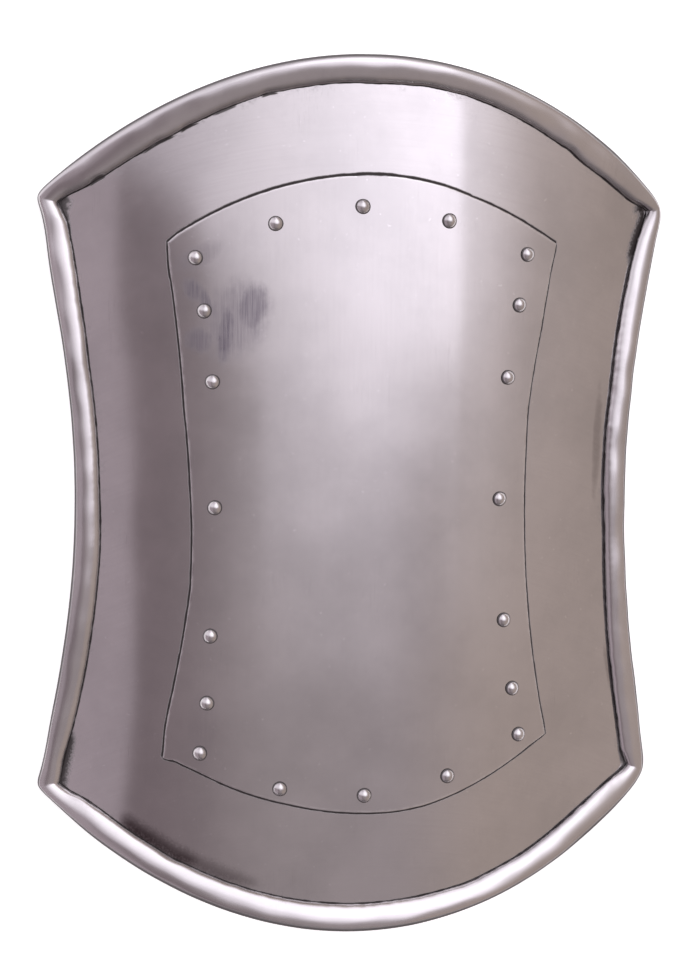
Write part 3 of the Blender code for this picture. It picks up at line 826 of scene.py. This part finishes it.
def build_plate():
    """The riveted sheet, its section a filed round, a straight edge and a small burr behind."""
    top = LANDING_GAP + PLATE_THICKNESS
    arc = np.radians(np.linspace(90, 0, 6))
    round_out = -FILED_ROUND + FILED_ROUND * np.cos(arc)
    round_height = top - FILED_ROUND + FILED_ROUND * np.sin(arc)
    out = np.concatenate([[-PLATE_EDGE_DEPTH], round_out, [0.0, -BURR, -PLATE_EDGE_DEPTH]])[:, None]
    height = np.concatenate([[top], round_height,
                             [LANDING_GAP + BURR, LANDING_GAP, LANDING_GAP]])[:, None]
    columns, rows = PLATE_COLUMNS * RIM_SPLIT, PLATE_ROWS * RIM_SPLIT
    loops = PLATE_OUTLINE.rings(out, columns, rows)
    outward = PLATE_OUTLINE.outward(out, columns, rows)
    hand_cut = wander(PLATE_WANDER, PLATE_OUTLINE, columns, rows)
    hand_cut = hand_cut + FILED_RAGGED * ripple(loops, 0.008, 0.003, seed=22)
    loops = pull_plate_corners(loops + outward * hand_cut[..., None])
    loops = turn_and_shift(loops, PLATE_TURN, PLATE_SHIFT)
    flat = PLATE_OUTLINE.grid(-PLATE_GRID_INSET, PLATE_COLUMNS, PLATE_ROWS)
    flat = turn_and_shift(flat, PLATE_TURN, PLATE_SHIFT)
    front = wrap(flat, hammering(flat) + top)
    back = wrap(flat, hammering(flat) + LANDING_GAP)
    made = edged_sheet("front_plate_sheet", front, back, wrap(loops, height + hammering(loops)),
                       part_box("front_plate"))
    on_face = flat.reshape(-1, 2)
    inward = gap_to_line(plate_edge(columns, rows), on_face)
    note(made, "plate_gap", np.concatenate([inward, inward, (-out + 0 * loops[..., 0]).ravel()]))
    tall = np.concatenate([np.full(len(on_face), top), np.full(len(on_face), LANDING_GAP),
                           (height + 0 * loops[..., 0]).ravel()])
    note(made, "plate_height", tall)
    return made


# Ovals in the polish of the plate, laid out like the body's: nearly all make the scrubbed patch
PLATE_SMEARS = ((-90, 110, 6, 4.5, -50, 0.60), (-84, 104, 8, 2.8, -68, 0.62),
                (-87, 84, 7, 6, 0, 0.62), (-73, 88, 14, 4.0, 84, 0.72),
                (-60, 101, 12, 7.5, 80, 0.62), (-68, 95, 19, 14, 60, 0.40),
                (-88, 127, 12, 5, 28, 0.22), (-84, -118, 16, 7, 84, 0.10))


def paint_plate():
    """The same polish, with a pale line of wear and painted highlight along the filed edge, a
    scrubbed patch, and dirt with painted shade at the edge.
    """
    paint = SteelPaint("plate_polish")
    place, uneven = paint.place, paint.uneven
    edge, tall = paint.noted("plate_gap"), paint.noted("plate_height")
    clouds, crumbs, specks = sheet_grain(place)
    polish = noise(stretched(place, (700.0, 26.0, 1.0), 0.06), 1.0, 4.0, 0.6)
    lines = hairlines(place, 1.3, 800.0, 0.012) * noise(place, 40.0).ramp(0.5, 0.7)
    streaks = noise(stretched(place, (1300.0, 45.0, 1.0), 0.05), 1.0, 3.0).ramp(0.32, 0.66)
    smear = paint.deepest(PLATE_SMEARS, 0.95, 0.4) * (streaks * 0.55 + 0.70)
    # Wear with a painted highlight: a pale line just inside the filed edge, patchy along it
    wear_and_highlight = (1 - edge.ramp(0.0006, 0.0018)) * edge.ramp(0.0002, 0.0006) * uneven.ramp(0.3, 0.6)
    # Painted shade with old polish: a dark line at the plate's cut edge and over its whole side
    # wall, the shadow of the gap under the plate
    dirt_and_shade = 1 - (edge + (uneven - 0.5) * 0.0005).ramp(0.0, 0.0005)
    dirt_and_shade = dirt_and_shade.math("MAXIMUM", 1 - tall.ramp(0.0011, 0.0014))
    colour = sheet_colour(clouds, polish.ramp(0.35, 0.75) * 0.06, lines, specks * 0.35)
    colour = blend(smear.math("MINIMUM", 1.0), colour, SCRUBBED)
    colour = blend(wear_and_highlight * 0.35, colour, WORN_EDGE_AND_HIGHLIGHT)
    colour = blend(dirt_and_shade * 0.85, colour, GRIME_AND_SHADE)
    roughness = (clouds * 0.05 + polish * 0.04 + 0.05 + crumbs * 0.03 + wear_and_highlight * 0.15
                 + smear * 0.20 + dirt_and_shade * 0.4)
    metallic = 1 - dirt_and_shade * 0.7
    height = crumbs * 0.0015 + polish * 0.0008 - lines * 0.002
    return paint.finish(colour, roughness, metallic, height)


front_plate_sheet = build_plate()
front_plate_sheet.data.materials.append(paint_plate())
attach(front_plate_sheet, "root")
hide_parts("front_plate")


# The rivets: twenty turned steel rivets, domed in front and peened over behind. They follow the
# edges of the front plate, marked out by eye; the middle one of each side also holds the grip.

HEAD_RADIUS = 0.0040
HEAD_HEIGHT = 0.0026
SHANK_RADIUS = 0.0020
TAIL_RADIUS = 0.0034
TAIL_HEIGHT = 0.0012
GRIP_THICKNESS = 0.0025
GRIP_FOOT_LENGTH = 0.026
RIVET_SEAT = PLATE_THICKNESS + 2 * LANDING_GAP
RIVET_END_INSET = 0.0127
RIVET_END_PITCH = 0.0474
RIVET_SIDE_INSET = 0.0149
RIVET_SIDE_HEIGHTS = (0.1004, 0.0644, 0.0, -0.0644, -0.1004)
RIVET_PATTERN_TURN = math.radians(0.3)
RIVET_PATTERN_SHIFT = (0.0003, -0.0033)
RIVET_SIDES = 48
RIVET_FIRST_SEED = 30

# How far each hole was drilled off its place in the pattern, as (s, y) in millimetres
HAND_SHIFTS = {
    "top": ((1.6, 0.7), (-1.6, -1.6), (-0.5, 0.5), (1.8, -0.7), (1.8, 1.0)),
    "bottom": ((1.3, -1.5), (-1.3, -1.2), (-0.4, 0.3), (1.6, 1.6), (-1.6, 1.3)),
    "left": ((1.7, -0.4), (0.4, -0.2), (-2.7, 0.0), (-2.0, -1.9), (1.1, -0.8)),
    "right": ((1.4, 0.7), (0.2, -0.5), (-0.7, 1.0), (-1.5, 1.5), (-1.4, 0.7)),
}

# A flat foot of the grip bears on the hollow back at its two ends, so its middle stands off
FOOT_STAND_OFF = LANDING_GAP + (GRIP_FOOT_LENGTH / 2) ** 2 / (2 * (BEND_RADIUS - SHEET))


def end_rivet(index, way):
    """Pattern place of a rivet along an end, inset along the arch's normal."""
    s = (index - 2) * RIVET_END_PITCH
    slope = 2 * PLATE_OUTLINE.end_bend * s
    length = math.hypot(slope, 1)
    reach = PLATE_OUTLINE.half_length - PLATE_OUTLINE.end_bend * s ** 2
    return (s - RIVET_END_INSET * slope / length, way * (reach - RIVET_END_INSET / length))


def side_rivet(index, way):
    """Pattern place of a rivet along a side, inset along the waisted edge's normal."""
    y = RIVET_SIDE_HEIGHTS[index]
    slope = 2 * PLATE_OUTLINE.side_bend * y
    length = math.hypot(slope, 1)
    reach = PLATE_OUTLINE.waist_width + PLATE_OUTLINE.side_bend * y ** 2
    return (way * (reach - RIVET_SIDE_INSET / length), y + RIVET_SIDE_INSET * slope / length)


def rivet_place(side, index):
    """Flat place of a rivet on the body, with the pattern's turn and the drill's wander."""
    place, way = {"top": (end_rivet, 1), "bottom": (end_rivet, -1),
                  "left": (side_rivet, -1), "right": (side_rivet, 1)}[side]
    flat = turn_and_shift(np.array(place(index, way)), RIVET_PATTERN_TURN, RIVET_PATTERN_SHIFT)
    off = np.array(HAND_SHIFTS[side][index]) / 1000
    return turn_and_shift(flat, PLATE_TURN, PLATE_SHIFT) + off


def fan(pole, loop):
    """Triangles from a pole to each step of a closed loop of point indices."""
    return np.stack([0 * loop + pole, loop, np.roll(loop, -1)], axis=-1)


def build_rivet(name, flat, grip_length, seed):
    """Profile (radius, height) turned about the sheet's normal, with closed poles.

    The dome is a spherical cap. Each one is a little out of round: the radius swells as a sum of
    two cosines of the turn, and the dome is flattened on one side by the hammer.
    """
    draw = np.random.default_rng(seed)
    sphere = (HEAD_RADIUS ** 2 + HEAD_HEIGHT ** 2) / (2 * HEAD_HEIGHT)
    rise = np.linspace(0.0, math.asin(HEAD_RADIUS / sphere) * 0.97, 12)[1:]
    dome = np.stack([sphere * np.sin(rise), sphere * np.cos(rise) - sphere + HEAD_HEIGHT], -1)
    lower = np.array([(HEAD_RADIUS, 0.00012), (HEAD_RADIUS - 0.0001, 0.0), (SHANK_RADIUS, 0.0),
                      (SHANK_RADIUS, -grip_length), (TAIL_RADIUS - 0.0001, -grip_length),
                      (TAIL_RADIUS, -grip_length - 0.0003),
                      (TAIL_RADIUS - 0.0004, -grip_length - 0.0009),
                      (TAIL_RADIUS - 0.0011, -grip_length - TAIL_HEIGHT)])
    profile = np.concatenate([dome, lower])
    turn = np.linspace(0, 2 * math.pi, RIVET_SIDES, endpoint=False)[None, :]
    phase = draw.uniform(0, 2 * math.pi, 3)
    swell = 1 + 0.012 * np.cos(2 * turn + phase[0]) + 0.010 * np.cos(3 * turn + phase[1]) - 0.012
    radius = profile[:, :1] * swell
    dent = 0.00010 * np.cos(turn + phase[2]) * (profile[:, :1] / HEAD_RADIUS)
    height = profile[:, 1:] + dent * (profile[:, 1:] > 0.0003)
    x, y = radius * np.cos(turn), radius * np.sin(turn)
    rings = np.stack([x, y, height + 0 * x], axis=-1).reshape(-1, 3)
    poles = np.array([(0.0, 0.0, HEAD_HEIGHT), (0.0, 0.0, -grip_length - TAIL_HEIGHT)])
    points = np.concatenate([rings, poles])
    lean = flat[0] / BEND_RADIUS
    seat = wrap(flat, RIVET_SEAT + hammering(flat))
    wide, long, tall = points.T
    points = np.stack([wide * math.cos(lean) + tall * math.sin(lean), long,
                       tall * math.cos(lean) - wide * math.sin(lean)], axis=-1) + seat
    ring = np.arange(len(profile) * RIVET_SIDES).reshape(len(profile), RIVET_SIDES)
    triangles = np.concatenate([fan(ring.size, ring[0]),
                                fan(ring.size + 1, ring[-1])[:, [0, 2, 1]]])
    made = steel_skin(name, points, band(ring), triangles, (solid_low, solid_high))
    note(made, "from_axis", np.concatenate([(radius + 0 * x).ravel(), [0.0, 0.0]]))
    return made


def paint_rivets():
    """Duller steel, buffed bright on the crowns, with dirt and painted contact shade round each
    head.
    """
    paint = SteelPaint("rivet_polish")
    place = paint.place
    clouds = noise(place, 120.0, 4.0, 0.6)
    crumbs = noise(place, 1500.0, 3.0, 0.7)
    # Dirt with painted contact shade: a dark ring over the outer rim of each head, where it meets
    # the plate
    rim_dirt_and_shade = paint.noted("from_axis").ramp(HEAD_RADIUS - 0.0009, HEAD_RADIUS - 0.0004)
    colour = blend(clouds.ramp(0.3, 0.7), STEEL_DARK, STEEL_LIGHT)
    colour = blend(rim_dirt_and_shade * 0.9, colour, GRIME_AND_SHADE)
    roughness = clouds * 0.08 + 0.17 + crumbs * 0.05 + rim_dirt_and_shade * 0.3
    height = crumbs * 0.006 + clouds * 0.03
    return paint.finish(colour, roughness, 1 - rim_dirt_and_shade * 0.8, height)


sheet_stack = RIVET_SEAT + SHEET + LANDING_GAP
grip_stack = RIVET_SEAT + SHEET + FOOT_STAND_OFF + GRIP_THICKNESS + LANDING_GAP
rivet_polish = paint_rivets()
for number in range(20):
    side, index = ("top", "bottom", "left", "right")[number // 5], number % 5
    holds_grip = side in ("left", "right") and index == 2
    rivet = build_rivet(f"domed_rivet_{side}_{index + 1}", rivet_place(side, index),
                        grip_stack if holds_grip else sheet_stack, RIVET_FIRST_SEED + number)
    rivet.data.materials.append(rivet_polish)
    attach(rivet, "root")
    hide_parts(f"rivet_{side}_{index + 1}")


# The grip: one steel strap, bent clear of the hollow back for the hand. Its two feet lie against
# the back of the body under the middle rivets of the sides. The photograph doesn't show it.

GRIP_WIDTH = 0.025
GRIP_HAND_DEPTH = 0.032
GRIP_LEG_RUN = 0.014
GRIP_BEND = 0.006
GRIP_EDGE = 0.0006
GRIP_END_ROUND = 0.007
GRIP_STEPS = 220
GRIP_DARK = (0.30, 0.27, 0.27, 1.0)
GRIP_LIGHT = (0.48, 0.44, 0.45, 1.0)


def grip_line():
    """Middle line of the strap as points (x, z), with an arc in place of each of its four bends."""
    under = -SHEET - FOOT_STAND_OFF - GRIP_THICKNESS / 2
    bar = CROWN - SHEET - GRIP_HAND_DEPTH - GRIP_THICKNESS / 2
    corners = []
    for side, way in (("left", -1), ("right", 1)):
        s = float(rivet_place(side, 2)[0])
        lean = s / BEND_RADIUS
        seat = wrap(np.array([s, 0.0]), under)
        end, heel = ((seat[0] + math.cos(lean) * way * step, seat[2] - math.sin(lean) * way * step)
                     for step in (GRIP_FOOT_LENGTH / 2, -GRIP_FOOT_LENGTH / 2))
        knee = (heel[0] - way * GRIP_LEG_RUN, bar)
        corners += [end, heel, knee] if way < 0 else [knee, heel, end]
    corners = np.array(corners)
    line = [corners[:1]]
    share = np.linspace(0, 1, 9)[:, None]
    for before, corner, after in zip(corners[:-2], corners[1:-1], corners[2:]):
        back = (before - corner) / np.linalg.norm(before - corner)
        ahead = (after - corner) / np.linalg.norm(after - corner)
        reach = GRIP_BEND / math.tan(math.acos(np.clip(back @ ahead, -1, 1)) / 2)
        start, end = corner + back * reach * (1 - share), corner + ahead * reach * share
        line.append(start * (1 - share) + end * share)
    line = np.concatenate(line + [corners[-1:]])
    length = np.concatenate([[0], np.cumsum(np.linalg.norm(np.diff(line, axis=0), axis=1))])
    even = np.linspace(0, length[-1], GRIP_STEPS)
    return np.stack([np.interp(even, length, line[:, k]) for k in (0, 1)], axis=-1), even


def build_grip():
    """Section of a flat bar with rounded edges carried along the strap's line.

    Within GRIP_END_ROUND of each end the half width shrinks as a quarter circle.
    """
    line, run = grip_line()
    to_end = np.minimum(run, run[-1] - run)
    short = np.clip(GRIP_END_ROUND - to_end, 0, None)
    half = GRIP_WIDTH / 2 - GRIP_END_ROUND + np.sqrt(GRIP_END_ROUND ** 2 - short ** 2)
    along = np.gradient(line, axis=0)
    along /= np.linalg.norm(along, axis=1, keepdims=True)
    normal = np.stack([-along[:, 1], along[:, 0]], axis=-1)
    turn = np.radians(np.concatenate([np.linspace(a, a + 90, 5) for a in (-90, 0, 90, 180)]))
    corner_y = np.repeat([1, 1, -1, -1], 5)
    corner_z = np.repeat([-1, 1, 1, -1], 5)
    flat = GRIP_THICKNESS / 2 - GRIP_EDGE
    across = corner_y * (half[:, None] - GRIP_EDGE) + GRIP_EDGE * np.cos(turn)
    off = corner_z * flat + GRIP_EDGE * np.sin(turn)
    middle = (rivet_place("left", 2)[1] + rivet_place("right", 2)[1]) / 2
    points = np.stack([line[:, :1] + normal[:, :1] * off, middle + across + 0 * off,
                       line[:, 1:] + normal[:, 1:] * off], axis=-1)
    count = points.shape[1]
    ring = np.arange(GRIP_STEPS * count).reshape(GRIP_STEPS, count)
    poles = np.stack([points[0].mean(axis=0), points[-1].mean(axis=0)])
    triangles = np.concatenate([fan(ring.size, ring[0])[:, [0, 2, 1]],
                                fan(ring.size + 1, ring[-1])])
    points = np.concatenate([points.reshape(-1, 3), poles])
    return steel_skin("grip_strap", points, band(ring)[:, [0, 3, 2, 1]], triangles,
                      (solid_low, solid_high))


def paint_grip():
    """Forged strap, left a little dark and clouded, with brush marks along it."""
    paint = SteelPaint("grip_polish")
    place = paint.place
    clouds = noise(place, 60.0, 5.0, 0.6)
    brushed = noise(stretched(place, (60.0, 1800.0, 60.0)), 1.0, 3.0)
    colour = blend(clouds.ramp(0.3, 0.7), GRIP_DARK, GRIP_LIGHT)
    roughness = clouds * 0.15 + 0.22 + brushed * 0.12
    height = brushed * 0.02 + clouds * 0.05
    return paint.finish(colour, roughness, 1.0, height)


grip_strap = build_grip()
grip_strap.data.materials.append(paint_grip())
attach(grip_strap, "root")
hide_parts("grip")
